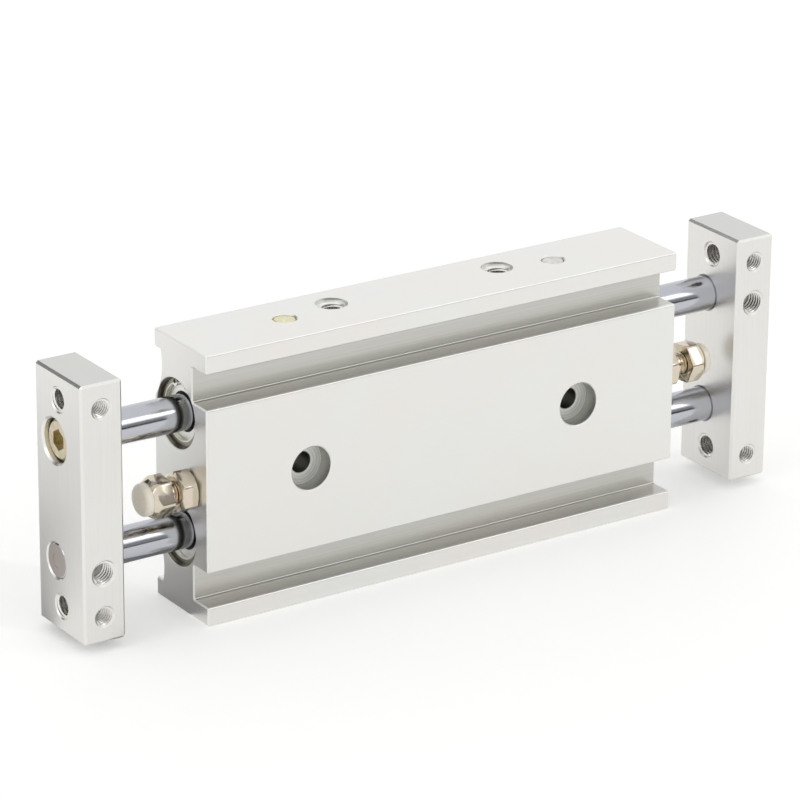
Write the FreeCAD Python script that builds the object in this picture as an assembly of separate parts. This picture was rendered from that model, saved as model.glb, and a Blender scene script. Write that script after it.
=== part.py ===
"""Guided pneumatic cylinder with two through rods, in millimetres, +Z up.

The housing stands on its long narrow base face. The origin is the middle of that face, X runs along
the rods, and -Y is the front, which has the two sensor grooves. Both rods cross the whole housing and
carry an end plate at each side, so plates, rods and pistons travel together as one carriage.
"""
import FreeCAD, Part
import math
import os

V = FreeCAD.Vector

# ---------------------------------------------------------------- fits
running_clearance = 0.03     # radial, between a rod or piston and what it slides in
seat_clearance = 0.02        # radial, between pieces that stay put in each other
face_clearance = 0.05        # along an axis, between a piece and the shoulder that holds it
thread_clearance = 0.05      # radial, between an outer thread and its tapped hole

# ---------------------------------------------------------------- housing
housing_length = 115.4
housing_height = 58.0
housing_depth = 20.0
housing_edge = 0.4           # rounding of the drawn profile's outer corners
housing_end_edge = 0.3       # chamfer round the two sawn end faces
sensor_groove_floor = 6.3    # from a sensor groove's floor back to the plane of the bores' axes
sensor_groove_height = 7.5
flange_height = 4.0          # solid strip above the upper groove and below the lower one
back_recess_height = 10.3
back_recess_lip = 2.3        # how far the flange's underside runs in before the recess curves
back_recess_bow = 1.35       # how far the recess bows in from a straight line

# ---------------------------------------------------------------- bores and rods
bore_diameter = 14.0
bore_from_groove = 4.75      # from a sensor groove's inner side to the bore's axis
bores_rise = 0.45            # bores and carriage lie this far above the housing's mid-height
bore_back_wall = 1.2         # from a bore to the housing's back face
bore_mouth_chamfer = 0.5
rod_diameter = 7.5
rod_end_chamfer = 0.3
rod_air_diameter = 3.0
rod_cross_diameter = 2.0
rod_cross_offset = 4.0       # from the piston's face to the hole that feeds the chamber
rod_screw_depth = 12.0

# ---------------------------------------------------------------- what closes each end of a bore
ring_depth = 1.0             # from the housing's end face to the retaining ring
ring_thickness = 0.9
ring_width = 1.4
ring_groove_depth = 0.3
ring_gap = 3.2
ring_lug_radius = 0.95
ring_lug_hole = 0.45
cover_length = 20.6
cover_lip = 2.0
washer_diameter = 12.6
washer_thickness = 0.8
washer_hole_clearance = 0.5
rod_seal_diameter = 12.0
rod_seal_length = 3.0
rod_seal_notch_depth = 1.2
rod_seal_notch_width = 0.8
bush_diameter = 10.4
bush_edge = 0.3
o_ring_section = 0.92
o_ring_groove_width = 1.3
o_ring_groove_from_inner_end = 5.0

# ---------------------------------------------------------------- pistons
piston_length = 19.0
piston_clearance = 0.12
piston_edge = 0.4
piston_seal_width = 2.6
piston_seal_depth = 1.9
magnet_width = 3.2
magnet_depth = 1.5
magnet_cover = 0.25          # the magnet lies this far under the piston's skin
wear_ring_width = 3.0
wear_ring_depth = 0.8
piston_slot_clearance = 0.05
clip_thickness = 0.8
clip_width = 1.1
clip_groove_depth = 0.4
clip_gap = 3.0

# ---------------------------------------------------------------- threads
m3_diameter = 3.0
m4_diameter = 4.0
m5_diameter = 5.0
thread_mouth = 0.3           # chamfer at a tapped hole's mouth
m5_across_flats = 8.0
m5_head_height = 4.2
m5_nut_height = 4.0
hex_face_diameter = 7.0      # the round face that the bevel leaves on a nut or a head
nut_bevel_angle = 30.0
head_bevel_angle = 55.0

# ---------------------------------------------------------------- ports and fixing holes of the housing
port_x = 20.4
port_y = 2.5
port_face_diameter = 6.8
port_face_depth = 0.7
port_thread_depth = 4.6
air_passage_diameter = 2.4
plug_x = 33.0
plug_y = 0.3
plug_diameter = 4.9
plug_length = 2.6
plug_sunk = 0.25
plug_edge = 0.35
plug_hole_chamfer = 0.25
fixing_pitch = 66.1
fixing_hole_diameter = 4.5
fixing_counterbore_diameter = 9.3
fixing_counterbore_depth = 4.0
fixing_edge = 0.2

# ---------------------------------------------------------------- carriage
plate_thickness = 9.4
plate_end_margin = 1.5       # the plates are this much shorter than the housing, at each end
plate_side_margin = 1.0      # the plates' front and back lie this far inside the housing's
plate_edge = 0.5
plate_gap = 17.7             # from each of the housing's ends to the plate, with the carriage centred
carriage_x = -0.7            # the carriage rests this far left of the housing's middle
plate_hole_from_end = 5.5
plate_port_thread_depth = 4.6
plate_port_mouth = 0.35
plate_o_ring_section = 0.9
plate_o_ring_groove_width = 1.15
plate_o_ring_offset = 2.7    # each side of the air passage
rod_socket_depth = 1.4
rod_end_sunk = 0.1
screw_head_diameter = 8.5
screw_head_height = 5.0
screw_head_edge = 0.5
screw_socket_flats = 4.0
screw_socket_depth = 2.5
screw_length = 9.0
screw_counterbore_diameter = 9.2
screw_counterbore_depth = 6.0
screw_counterbore_chamfer = 0.45
screw_hole_diameter = 5.5
rod_plug_length = 3.0
rod_plug_sunk = 0.05
set_screw_length = 3.0
set_screw_socket_flats = 1.5
set_screw_socket_depth = 1.2

# ---------------------------------------------------------------- stopper bolts
stopper_forward = 3.3        # each bolt lies this far in front of the housing's middle plane
left_stopper_drop = 1.3      # the left bolt is this far under mid-height
right_stopper_rise = 0.7     # and the right one this far above it
stopper_reach_left = 12.2    # from the housing's end face to the pad's tip
stopper_reach_right = 13.3
stopper_hole_depth = 19.0
stopper_thread_grip = 12.0   # thread inside the housing
left_head_turn = 23.0        # degrees that each head and nut happens to stand turned
right_head_turn = 25.0
left_nut_turn = 0.0
right_nut_turn = 7.0
pad_diameter = 6.8
pad_height = 2.1             # from the head's face to the pad's tip
pad_crown = 0.6              # the part of that height that the rounded tip takes
pad_edge = 1.0
pad_stem_diameter = 3.4
pad_stem_length = 1.6

# ---------------------------------------------------------------- places worked out from the sizes
half_length = housing_length / 2
mid_z = housing_height / 2
front_y = -housing_depth / 2
back_y = housing_depth / 2
axis_y = back_y - bore_back_wall - bore_diameter / 2
carriage_z = mid_z + bores_rise
upper_z = housing_height - flange_height - sensor_groove_height - bore_from_groove + bores_rise
lower_z = 2 * carriage_z - upper_z
bore_radius = bore_diameter / 2
rod_radius = rod_diameter / 2
cover_face = ring_depth + ring_thickness + face_clearance
cover_inner = cover_face + cover_length
washer_back = washer_thickness + face_clearance
seal_back = washer_back + rod_seal_length + face_clearance
piston_radius = bore_radius - piston_clearance
piston_bore = rod_radius + seat_clearance
plate_height = housing_height - 2 * plate_end_margin
plate_depth = housing_depth - 2 * plate_side_margin
left_inner_face = carriage_x - half_length - plate_gap
left_outer_face = left_inner_face - plate_thickness
left_plate_x = left_inner_face - plate_thickness / 2
stopper_y = -stopper_forward
left_stopper_z = mid_z - left_stopper_drop
right_stopper_z = mid_z + right_stopper_rise

LEFT, RIGHT = 1, -1          # the direction that points into the housing from each end


# ---------------------------------------------------------------- shapes that repeat
def rod_x(x_from, x_to, radius, y, z):
    """A round bar along X."""
    return Part.makeCylinder(radius, abs(x_to - x_from), V(min(x_from, x_to), y, z), V(1, 0, 0))


def rod_y(y_from, y_to, radius, x, z):
    """A round bar along Y."""
    return Part.makeCylinder(radius, abs(y_to - y_from), V(x, min(y_from, y_to), z), V(0, 1, 0))


def rod_z(z_from, z_to, radius, x, y):
    """A round bar along Z."""
    return Part.makeCylinder(radius, abs(z_to - z_from), V(x, y, min(z_from, z_to)), V(0, 0, 1))


def mouth(place, inward, radius, size):
    """The cone that chamfers a hole's mouth, from the surface inwards."""
    return Part.makeCone(radius + size, radius, size, V(*place), V(*inward))


def lathe(outline, start, inward, y, z):
    """Turns a closed outline of (distance inwards, radius) points about an axis along X."""
    points = [V(start + inward * along, y, z + radius) for along, radius in outline]
    face = Part.Face(Part.makePolygon(points + points[:1]))
    return face.revolve(V(0, y, z), V(1, 0, 0), 360)


def tube(length, inner, outer, start, inward, y, z, edge=0.0):
    """A turned sleeve whose two outer rims may be chamfered."""
    outline = [(0, inner), (0, outer - edge)]
    if edge > 0:
        outline += [(edge, outer), (length - edge, outer)]
        outline += [(length, outer - edge)]
    else:
        outline += [(length, outer)]
    return lathe(outline + [(length, inner)], start, inward, y, z)


def o_ring(section, centre_radius, x, y, z):
    """A round-section rubber ring about an axis along X."""
    return Part.makeTorus(centre_radius, section / 2, V(x, y, z), V(1, 0, 0))


def hexagon(flats, length, x, y, z, turn=0.0):
    """A six-sided bar along +X, turned by an angle in degrees about its own axis."""
    corner = flats / 2 / math.cos(math.pi / 6)
    angles = [math.radians(turn) + math.pi / 3 * step for step in range(6)]
    points = [V(x, y + corner * math.sin(a), z + corner * math.cos(a)) for a in angles]
    return Part.Face(Part.makePolygon(points + points[:1])).extrude(V(length, 0, 0))


def hex_bevel(angle, length, start, y, z, both):
    """The turned blank that cuts an M5 hexagon's corners at its outer end or at both ends."""
    corner = m5_across_flats / 2 / math.cos(math.pi / 6)
    rim = hex_face_diameter / 2
    run = (corner - rim) * math.tan(math.radians(angle))
    outline = [(0, 0), (0, rim), (run, corner)]
    outline += [(length - run, corner), (length, rim)] if both else [(length, corner)]
    return lathe(outline + [(length, 0)], start, 1, y, z)


def turned(shape, x):
    """A copy turned half a turn about the front-to-back line at x, at the carriage's middle."""
    return shape.rotated(V(x, 0, carriage_z), V(0, 1, 0), 180)


def bore_axes():
    """Name and height of the two bores."""
    return (("upper", upper_z), ("lower", lower_z))


def housing_ends():
    """Name, place and inward direction of the two end faces."""
    return (("left", -half_length, LEFT), ("right", half_length, RIGHT))


# ---------------------------------------------------------------- housing
def corner_round(before, corner, after, radius):
    """The two ends and the middle of the arc that rounds one corner of an outline."""
    to_before, to_after = (before - corner).normalize(), (after - corner).normalize()
    half = to_before.getAngle(to_after) / 2
    reach = radius / math.tan(half)
    bisector = (to_before + to_after).normalize()
    middle = corner + bisector * (radius / math.sin(half) - radius)
    return corner + to_before * reach, middle, corner + to_after * reach


def housing_loop():
    """Corners of the drawn section, from the upper back recess round to the lower one."""
    groove_top = mid_z - flange_height
    groove_bottom = groove_top - sensor_groove_height
    groove_floor = axis_y - sensor_groove_floor
    upper = [(back_y, groove_top - back_recess_height), (back_y - back_recess_lip, groove_top),
             (back_y, groove_top), (back_y, mid_z), (front_y, mid_z), (front_y, groove_top),
             (groove_floor, groove_top), (groove_floor, groove_bottom), (front_y, groove_bottom)]
    loop = upper + [(y, -z) for y, z in reversed(upper)]
    return [V(-half_length, y, mid_z + z) for y, z in loop]


def housing_section():
    """The section as a face in the plane of the left end, with rounded corners and two bowed runs."""
    loop = housing_loop()
    last = len(loop) - 1
    sharp, bowed = (0, 1, last - 1, last), (0, last - 1)
    bends = []
    for index, corner in enumerate(loop):
        if index in sharp:
            bends.append((corner, corner, corner))
        else:
            bends.append(corner_round(loop[index - 1], corner, loop[index + 1], housing_edge))
    edges = []
    for index, (into, middle, out) in enumerate(bends):
        if index not in sharp:
            edges.append(Part.Arc(into, middle, out).toShape())
        following = bends[(index + 1) % len(bends)][0]
        if index in bowed:
            through = (out + following) / 2 - V(0, back_recess_bow, 0)
            edges.append(Part.Arc(out, through, following).toShape())
        else:
            edges.append(Part.LineSegment(out, following).toShape())
    return Part.Face(Part.Wire(edges))


def make_housing():
    """The drawn aluminium body with its bores, ports, air passages and fixing holes."""
    body = housing_section().extrude(V(housing_length, 0, 0))
    rims = [edge for edge in body.Edges if edge.BoundBox.XLength < housing_edge]
    body = body.makeChamfer(housing_end_edge, rims)
    cuts = []
    for _, z in bore_axes():
        bore = rod_x(-half_length, half_length, bore_radius, axis_y, z)
        cuts.append(bore.rotated(V(0, axis_y, z), V(1, 0, 0), 90))
        for _, end, inward in housing_ends():
            groove_at = end + inward * ring_depth
            groove_end = groove_at + inward * (ring_thickness + face_clearance)
            cuts.append(rod_x(groove_at, groove_end, bore_radius + ring_groove_depth, axis_y, z))
            cuts.append(mouth((end, axis_y, z), (inward, 0, 0), bore_radius, bore_mouth_chamfer))
    for z, (_, end, inward) in zip((left_stopper_z, right_stopper_z), housing_ends()):
        cuts.append(rod_x(end, end + inward * stopper_hole_depth, m5_diameter / 2, stopper_y, z))
        cuts.append(mouth((end, stopper_y, z), (inward, 0, 0), m5_diameter / 2, thread_mouth))
        port_at, plug_at = -inward * port_x, -inward * plug_x
        face = housing_height - port_face_depth
        cuts.append(rod_z(face, housing_height, port_face_diameter / 2, port_at, port_y))
        cuts.append(rod_z(face - port_thread_depth, face, m5_diameter / 2, port_at, port_y))
        cuts.append(mouth((port_at, port_y, face), (0, 0, -1), m5_diameter / 2, thread_mouth))
        cuts.append(rod_z(lower_z, housing_height, air_passage_diameter / 2, port_at, port_y))
        plug_floor = housing_height - plug_sunk - plug_length
        cuts.append(rod_z(plug_floor, housing_height, plug_hole_radius(), plug_at, plug_y))
        cuts.append(mouth((plug_at, plug_y, housing_height), (0, 0, -1), plug_hole_radius(),
                          plug_hole_chamfer))
        cuts.append(rod_z(upper_z, housing_height, air_passage_diameter / 2, plug_at, plug_y))
        fixing_at = -inward * fixing_pitch / 2
        fixing_floor = front_y + fixing_counterbore_depth
        wide, narrow = fixing_counterbore_diameter / 2, fixing_hole_diameter / 2
        cuts.append(rod_y(front_y, back_y, narrow, fixing_at, mid_z))
        cuts.append(rod_y(front_y, fixing_floor, wide, fixing_at, mid_z))
        cuts.append(mouth((fixing_at, front_y, mid_z), (0, 1, 0), wide, fixing_edge))
        cuts.append(mouth((fixing_at, fixing_floor, mid_z), (0, 1, 0), narrow, fixing_edge))
        cuts.append(mouth((fixing_at, back_y, mid_z), (0, -1, 0), narrow, fixing_edge))
    return body.cut(cuts)


def plug_hole_radius():
    """The drilling that a gallery plug is pressed into."""
    return plug_diameter / 2 + seat_clearance


def make_gallery_plug(x):
    """A turned plug that closes an air drilling in the housing's top."""
    top = housing_height - plug_sunk
    plug = rod_z(top - plug_length, top, plug_diameter / 2, x, plug_y)
    rim = [edge for edge in plug.Edges if edge.BoundBox.ZMin > top - plug_edge]
    return plug.makeChamfer(plug_edge, rim)


# ---------------------------------------------------------------- rod guides, one set at each bore end
def make_rod_cover(end, inward, z):
    """The turned cover that fills the bore's end and holds the bush, the seal and the washer."""
    outer = bore_radius - seat_clearance
    washer_seat = washer_diameter / 2 + seat_clearance
    seal_seat = rod_seal_diameter / 2 + seat_clearance
    bush_seat = bush_diameter / 2 + seat_clearance
    lip = rod_radius + washer_hole_clearance
    groove_floor = bore_radius - o_ring_section - seat_clearance * 2
    groove_far = cover_length - o_ring_groove_from_inner_end
    groove_near = groove_far - o_ring_groove_width
    outline = [(0, washer_seat), (0, outer), (groove_near, outer), (groove_near, groove_floor),
               (groove_far, groove_floor), (groove_far, outer), (cover_length, outer),
               (cover_length, lip), (cover_length - cover_lip, lip),
               (cover_length - cover_lip, bush_seat), (seal_back, bush_seat),
               (seal_back, seal_seat), (washer_back, seal_seat), (washer_back, washer_seat)]
    return lathe(outline, end + inward * cover_face, inward, axis_y, z)


def make_rod_bush(end, inward, z):
    """The plain bearing that the rod slides in."""
    start = end + inward * (cover_face + seal_back + face_clearance)
    length = cover_length - cover_lip - seal_back - 2 * face_clearance
    inner = rod_radius + running_clearance
    return tube(length, inner, bush_diameter / 2, start, inward, axis_y, z, bush_edge)


def make_rod_seal(end, inward, z):
    """The rubber rod seal, with a notch that the air pressure spreads."""
    inner, outer = rod_radius + running_clearance, rod_seal_diameter / 2
    middle, notch = (inner + outer) / 2, rod_seal_notch_width / 2
    bottom = rod_seal_length - rod_seal_notch_depth
    outline = [(0, inner), (0, outer), (rod_seal_length, outer), (rod_seal_length, middle + notch),
               (bottom, middle), (rod_seal_length, middle - notch), (rod_seal_length, inner)]
    start = end + inward * (cover_face + washer_back)
    return lathe(outline, start, inward, axis_y, z)


def make_seal_washer(end, inward, z):
    """The washer that keeps the rod seal in the cover."""
    inner = rod_radius + washer_hole_clearance
    start = end + inward * (cover_face + face_clearance / 2)
    return tube(washer_thickness, inner, washer_diameter / 2, start, inward, axis_y, z)


def make_retaining_ring(end, inward, z):
    """The open spring ring, with two eyes for pliers, that keeps the cover in the bore."""
    outer = bore_radius + ring_groove_depth - seat_clearance
    inner = outer - ring_width
    start = end + inward * (ring_depth + face_clearance / 2)
    stop = start + inward * ring_thickness
    ring = tube(ring_thickness, inner, outer, start, inward, axis_y, z)
    low = min(start, stop)
    gap = Part.makeBox(ring_thickness, ring_gap, outer, V(low, axis_y - ring_gap / 2, z))
    ring = ring.cut(gap)
    aside = (ring_gap + ring_lug_radius) / 2
    eye_z = z + math.sqrt((outer - ring_lug_radius) ** 2 - aside ** 2)
    eyes = (axis_y - aside, axis_y + aside)
    ring = ring.fuse([rod_x(start, stop, ring_lug_radius, y, eye_z) for y in eyes])
    return ring.cut([rod_x(start, stop, ring_lug_hole, y, eye_z) for y in eyes]).removeSplitter()


def make_cover_o_ring(end, inward, z):
    """The rubber ring that seals the cover in the bore."""
    groove_far = cover_inner - o_ring_groove_from_inner_end
    centre = end + inward * (groove_far - o_ring_groove_width / 2)
    centre_radius = bore_radius - seat_clearance - o_ring_section / 2
    return o_ring(o_ring_section, centre_radius, centre, axis_y, z)


# ---------------------------------------------------------------- pistons
def piston_slots():
    """Distance from the piston's end to each ring, with the ring's width and groove depth."""
    widths = (wear_ring_width, piston_seal_width, magnet_width)
    depths = (wear_ring_depth, piston_seal_depth, magnet_depth)
    land = (piston_length - sum(widths)) / (len(widths) + 1)
    starts = [land * (i + 1) + sum(widths[:i]) for i in range(len(widths))]
    return dict(zip(("wear", "seal", "magnet"), zip(starts, widths, depths)))


def piston_start(inward):
    """The piston's end on the side of the plate that its rod is screwed to."""
    return carriage_x - inward * piston_length / 2


def make_piston(inward, z):
    """The aluminium piston with its three ring grooves."""
    outline = [(0, piston_bore), (0, piston_radius - piston_edge), (piston_edge, piston_radius)]
    for start, width, depth in piston_slots().values():
        floor = piston_radius - depth
        near, far = start - piston_slot_clearance, start + width + piston_slot_clearance
        outline += [(near, piston_radius), (near, floor), (far, floor), (far, piston_radius)]
    outline += [(piston_length - piston_edge, piston_radius),
                (piston_length, piston_radius - piston_edge), (piston_length, piston_bore)]
    return lathe(outline, piston_start(inward), inward, axis_y, z)


def make_piston_ring(slot, outer, inward, z):
    """One ring that lies in a groove of the piston."""
    start, width, depth = piston_slots()[slot]
    inner = piston_radius - depth + seat_clearance
    place = piston_start(inward) + inward * start
    return tube(width, inner, outer, place, inward, axis_y, z)


def make_piston_clip(face_x, outward, z):
    """The open clip in the rod's groove that holds one side of the piston."""
    start = face_x + outward * face_clearance
    inner = rod_radius - clip_groove_depth + seat_clearance
    clip = tube(clip_thickness, inner, inner + clip_width, start, outward, axis_y, z)
    low = min(start, start + outward * clip_thickness)
    gap = Part.makeBox(clip_thickness, clip_gap, 2 * rod_radius, V(low, axis_y - clip_gap / 2, z))
    return clip.cut(gap)


# ---------------------------------------------------------------- rods
def rod_ends():
    """The upper rod's screwed end in the left plate, and its free end in the right plate."""
    screwed = left_inner_face - rod_socket_depth + face_clearance
    free = 2 * carriage_x - left_outer_face - rod_end_sunk
    return screwed, free


def make_upper_rod():
    """The chromed rod: tapped at the left, and drilled from the right to feed the chamber."""
    screwed, free = rod_ends()
    edge = rod_end_chamfer
    rod = tube(free - screwed, 0, rod_radius, screwed, 1, axis_y, upper_z, edge)
    piston_face = carriage_x + piston_length / 2
    feed_x = piston_face + rod_cross_offset
    port_side_x = 2 * carriage_x - left_plate_x
    groove_inner = rod_radius - clip_groove_depth
    grooves = []
    for face_x, outward in ((piston_face, 1), (2 * carriage_x - piston_face, -1)):
        wide = clip_thickness + 2 * face_clearance
        grooves.append(tube(wide, groove_inner, rod_diameter, face_x, outward, axis_y, upper_z))
    cuts = grooves + [
        rod_x(screwed, screwed + rod_screw_depth, m5_diameter / 2, axis_y, upper_z),
        rod_x(feed_x - rod_cross_diameter, free, rod_air_diameter / 2, axis_y, upper_z),
        rod_z(upper_z - rod_diameter, upper_z + rod_diameter, rod_cross_diameter / 2, feed_x, axis_y),
        rod_y(front_y, axis_y, rod_cross_diameter / 2, port_side_x, upper_z)]
    return rod.cut(cuts)


def make_right_rod_plug():
    """The plug that closes the upper rod's air drilling at its free end."""
    start = rod_ends()[1] - rod_plug_sunk
    radius = rod_air_diameter / 2 - seat_clearance
    return rod_x(start, start - rod_plug_length, radius, axis_y, upper_z)


# ---------------------------------------------------------------- end plates
def make_left_plate():
    """The end plate: a screwed socket for the upper rod, a through hole and port for the lower."""
    low_y, low_z = -plate_depth / 2, carriage_z - plate_height / 2
    plate = Part.makeBox(plate_thickness, plate_depth, plate_height,
                         V(left_outer_face, low_y, low_z))
    plate = plate.makeChamfer(plate_edge, plate.Edges)
    m5, m4, m3 = m5_diameter / 2, m4_diameter / 2, m3_diameter / 2
    rod_hole = rod_radius + seat_clearance
    counterbore = screw_counterbore_diameter / 2
    socket_floor = left_inner_face - rod_socket_depth
    cuts = [
        rod_x(left_outer_face, left_outer_face + screw_counterbore_depth, counterbore,
              axis_y, upper_z),
        mouth((left_outer_face, axis_y, upper_z), (1, 0, 0), counterbore, screw_counterbore_chamfer),
        rod_x(left_outer_face, left_inner_face, screw_hole_diameter / 2, axis_y, upper_z),
        rod_x(socket_floor, left_inner_face, rod_hole, axis_y, upper_z),
        rod_x(left_outer_face, left_inner_face, rod_hole, axis_y, lower_z)]
    for z in (upper_z, lower_z):
        cuts.append(mouth((left_inner_face, axis_y, z), (-1, 0, 0), rod_hole, rod_end_chamfer))
    cuts.append(mouth((left_outer_face, axis_y, lower_z), (1, 0, 0), rod_hole, rod_end_chamfer))
    for z in (low_z + plate_hole_from_end, low_z + plate_height - plate_hole_from_end):
        cuts.append(rod_x(left_outer_face, left_inner_face, m5, 0, z))
        cuts.append(mouth((left_outer_face, 0, z), (1, 0, 0), m5, thread_mouth))
        cuts.append(mouth((left_inner_face, 0, z), (-1, 0, 0), m5, thread_mouth))
        cuts.append(rod_y(low_y, 0, m4, left_plate_x, z))
        cuts.append(mouth((left_plate_x, low_y, z), (0, 1, 0), m4, thread_mouth))
    port_floor = low_y + plate_port_thread_depth
    cuts += [
        rod_y(low_y, port_floor, m5, left_plate_x, lower_z),
        mouth((left_plate_x, low_y, lower_z), (0, 1, 0), m5, plate_port_mouth),
        rod_y(low_y, axis_y, air_passage_diameter / 2, left_plate_x, lower_z),
        rod_y(axis_y, plate_depth / 2, m3, left_plate_x, lower_z),
        mouth((left_plate_x, plate_depth / 2, lower_z), (0, -1, 0), m3, thread_mouth)]
    for x in plate_o_ring_places():
        cuts.append(rod_x(x - plate_o_ring_groove_width / 2, x + plate_o_ring_groove_width / 2,
                          rod_hole + plate_o_ring_section, axis_y, lower_z))
    return plate.cut(cuts)


def plate_o_ring_places():
    """The two sealing rings round the lower rod, one each side of the air passage."""
    return [left_plate_x + sign * plate_o_ring_offset for sign in (-1, 1)]


def make_left_plate_o_rings():
    """The two rubber rings between the left plate and the lower rod."""
    centre_radius = rod_radius + seat_clearance + plate_o_ring_section / 2
    rings = [o_ring(plate_o_ring_section, centre_radius, x, axis_y, lower_z)
             for x in plate_o_ring_places()]
    return Part.makeCompound(rings)


def make_left_cap_screw():
    """The socket cap screw that pulls the upper rod into the left plate."""
    seat = left_outer_face + screw_counterbore_depth
    head_face = seat - screw_head_height
    head = screw_head_diameter / 2
    thread = m5_diameter / 2 - thread_clearance
    reach = screw_head_height + screw_length
    outline = [(0, 0), (0, head - screw_head_edge), (screw_head_edge, head),
               (screw_head_height, head), (screw_head_height, thread), (reach, thread), (reach, 0)]
    screw = lathe(outline, head_face, 1, axis_y, upper_z)
    return screw.cut(hexagon(screw_socket_flats, screw_socket_depth, head_face, axis_y, upper_z))


def make_left_set_screw():
    """The headless screw in the left plate's back that locks the lower rod."""
    tip = axis_y + rod_radius + face_clearance
    radius = m3_diameter / 2 - thread_clearance
    screw = rod_y(tip, tip + set_screw_length, radius, left_plate_x, lower_z)
    corner = set_screw_socket_flats / 2 / math.cos(math.pi / 6)
    angles = [math.pi / 3 * step for step in range(6)]
    back = tip + set_screw_length
    points = [V(left_plate_x + corner * math.cos(a), back, lower_z + corner * math.sin(a))
              for a in angles]
    socket = Part.Face(Part.makePolygon(points + points[:1]))
    return screw.cut(socket.extrude(V(0, -set_screw_socket_depth, 0)))


# ---------------------------------------------------------------- stopper bolts, drawn at the left end
def head_face(reach):
    """The outer face of a stopper bolt's head when its pad's tip reaches that far out."""
    return -half_length - reach + pad_height


def make_lock_nut(turn, z):
    """The hexagon nut that locks a stopper bolt against the housing's end face."""
    start = -half_length - m5_nut_height
    nut = hexagon(m5_across_flats, m5_nut_height, start, stopper_y, z, turn)
    blank = hex_bevel(nut_bevel_angle, m5_nut_height, start, stopper_y, z, True)
    return nut.common(blank).cut(rod_x(start, -half_length, m5_diameter / 2, stopper_y, z))


def make_stopper_bolt(reach, turn, z):
    """The hexagon-head bolt, with a blind hole in its head for the pad's stem."""
    face = head_face(reach)
    neck = face + m5_head_height
    head = hexagon(m5_across_flats, m5_head_height, face, stopper_y, z, turn)
    blank = hex_bevel(head_bevel_angle, m5_head_height, face, stopper_y, z, False)
    thread = rod_x(neck, -half_length + stopper_thread_grip, m5_diameter / 2 - thread_clearance,
                   stopper_y, z)
    hole = rod_x(face, face + pad_stem_length + face_clearance,
                 pad_stem_diameter / 2 + seat_clearance, stopper_y, z)
    return head.common(blank).fuse(thread).cut(hole).removeSplitter()


def make_bumper_pad(reach, z):
    """The elastic pad: a domed disc with a stem pressed into the bolt's head."""
    face = head_face(reach)
    tip = face - pad_height
    shoulder = tip + pad_crown
    rim = pad_diameter / 2
    bulge = (rim ** 2 + pad_crown ** 2) / (2 * pad_crown)
    halfway = V(tip + bulge - math.sqrt(bulge ** 2 - (rim / 2) ** 2), stopper_y, z + rim / 2)
    crown = Part.Arc(V(tip, stopper_y, z), halfway, V(shoulder, stopper_y, z + rim)).toShape()
    corners = [V(shoulder, stopper_y, z + rim), V(face, stopper_y, z + rim), V(face, stopper_y, z),
               V(tip, stopper_y, z)]
    walls = [Part.LineSegment(a, b).toShape() for a, b in zip(corners, corners[1:])]
    disc = Part.Face(Part.Wire([crown] + walls)).revolve(V(0, stopper_y, z), V(1, 0, 0), 360)
    rounded = [edge for edge in disc.Edges if abs(edge.BoundBox.Center.x - shoulder) < face_clearance]
    disc = disc.makeFillet(pad_edge, rounded)
    stem = rod_x(face, face + pad_stem_length, pad_stem_diameter / 2, stopper_y, z)
    return disc.fuse(stem).removeSplitter()


def make_stopper(side, reach, head_turn, nut_turn, z):
    """The bolt, pad and nut of one end, by name, drawn at the left end."""
    return {side + "_lock_nut": make_lock_nut(nut_turn, z),
            side + "_stopper_bolt": make_stopper_bolt(reach, head_turn, z),
            side + "_bumper_pad": make_bumper_pad(reach, z)}


# ---------------------------------------------------------------- the whole assembly
def make_parts():
    """Every piece by name, in its place."""
    parts = {"housing": make_housing()}
    guide_pieces = (("rod_cover", make_rod_cover), ("rod_bush", make_rod_bush),
                    ("rod_seal", make_rod_seal), ("seal_washer", make_seal_washer),
                    ("retaining_ring", make_retaining_ring), ("cover_o_ring", make_cover_o_ring))
    for side, end, inward in housing_ends():
        parts[side + "_gallery_plug"] = make_gallery_plug(-inward * plug_x)
        for name, z in bore_axes():
            for piece, make in guide_pieces:
                parts["_".join((side, name, piece))] = make(end, inward, z)

    # The upper rod is screwed to the left plate, and the lower rod to the right one.
    for name, z, inward in (("upper", upper_z, 1), ("lower", lower_z, -1)):
        wear_outer = bore_radius - running_clearance
        parts[name + "_piston"] = make_piston(inward, z)
        parts[name + "_piston_seal"] = make_piston_ring("seal", wear_outer, inward, z)
        parts[name + "_wear_ring"] = make_piston_ring("wear", wear_outer, inward, z)
        parts[name + "_magnet"] = make_piston_ring("magnet", piston_radius - magnet_cover, inward, z)
        clips = [make_piston_clip(carriage_x + side * piston_length / 2, side, z)
                 for side in (-1, 1)]
        parts[name + "_piston_clips"] = Part.makeCompound(clips)
    parts["upper_rod"] = make_upper_rod()
    parts["lower_rod"] = turned(parts["upper_rod"], carriage_x)

    right_plug = make_right_rod_plug()
    parts["right_rod_plug"] = right_plug
    parts["left_rod_plug"] = turned(right_plug, carriage_x)
    for piece, make in (("plate", make_left_plate), ("plate_o_rings", make_left_plate_o_rings),
                        ("cap_screw", make_left_cap_screw), ("set_screw", make_left_set_screw)):
        shape = make()
        parts["left_" + piece] = shape
        parts["right_" + piece] = turned(shape, carriage_x)

    parts.update(make_stopper("left", stopper_reach_left, left_head_turn, left_nut_turn,
                              left_stopper_z))
    # Half a turn about the carriage's middle takes the right bolt from its mirrored height to its own.
    right = make_stopper("right", stopper_reach_right, right_head_turn, right_nut_turn,
                         2 * carriage_z - right_stopper_z)
    parts.update({node: turned(shape, 0) for node, shape in right.items()})
    return parts


def main():
    os.makedirs("parts", exist_ok=True)
    parts = make_parts()
    for node, shape in parts.items():
        shape.exportStep(os.path.join("parts", node + ".step"))
        print(node, len(shape.Solids), round(shape.Volume, 2), shape.isValid())
    print(len(parts), "nodes")


main()
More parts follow.
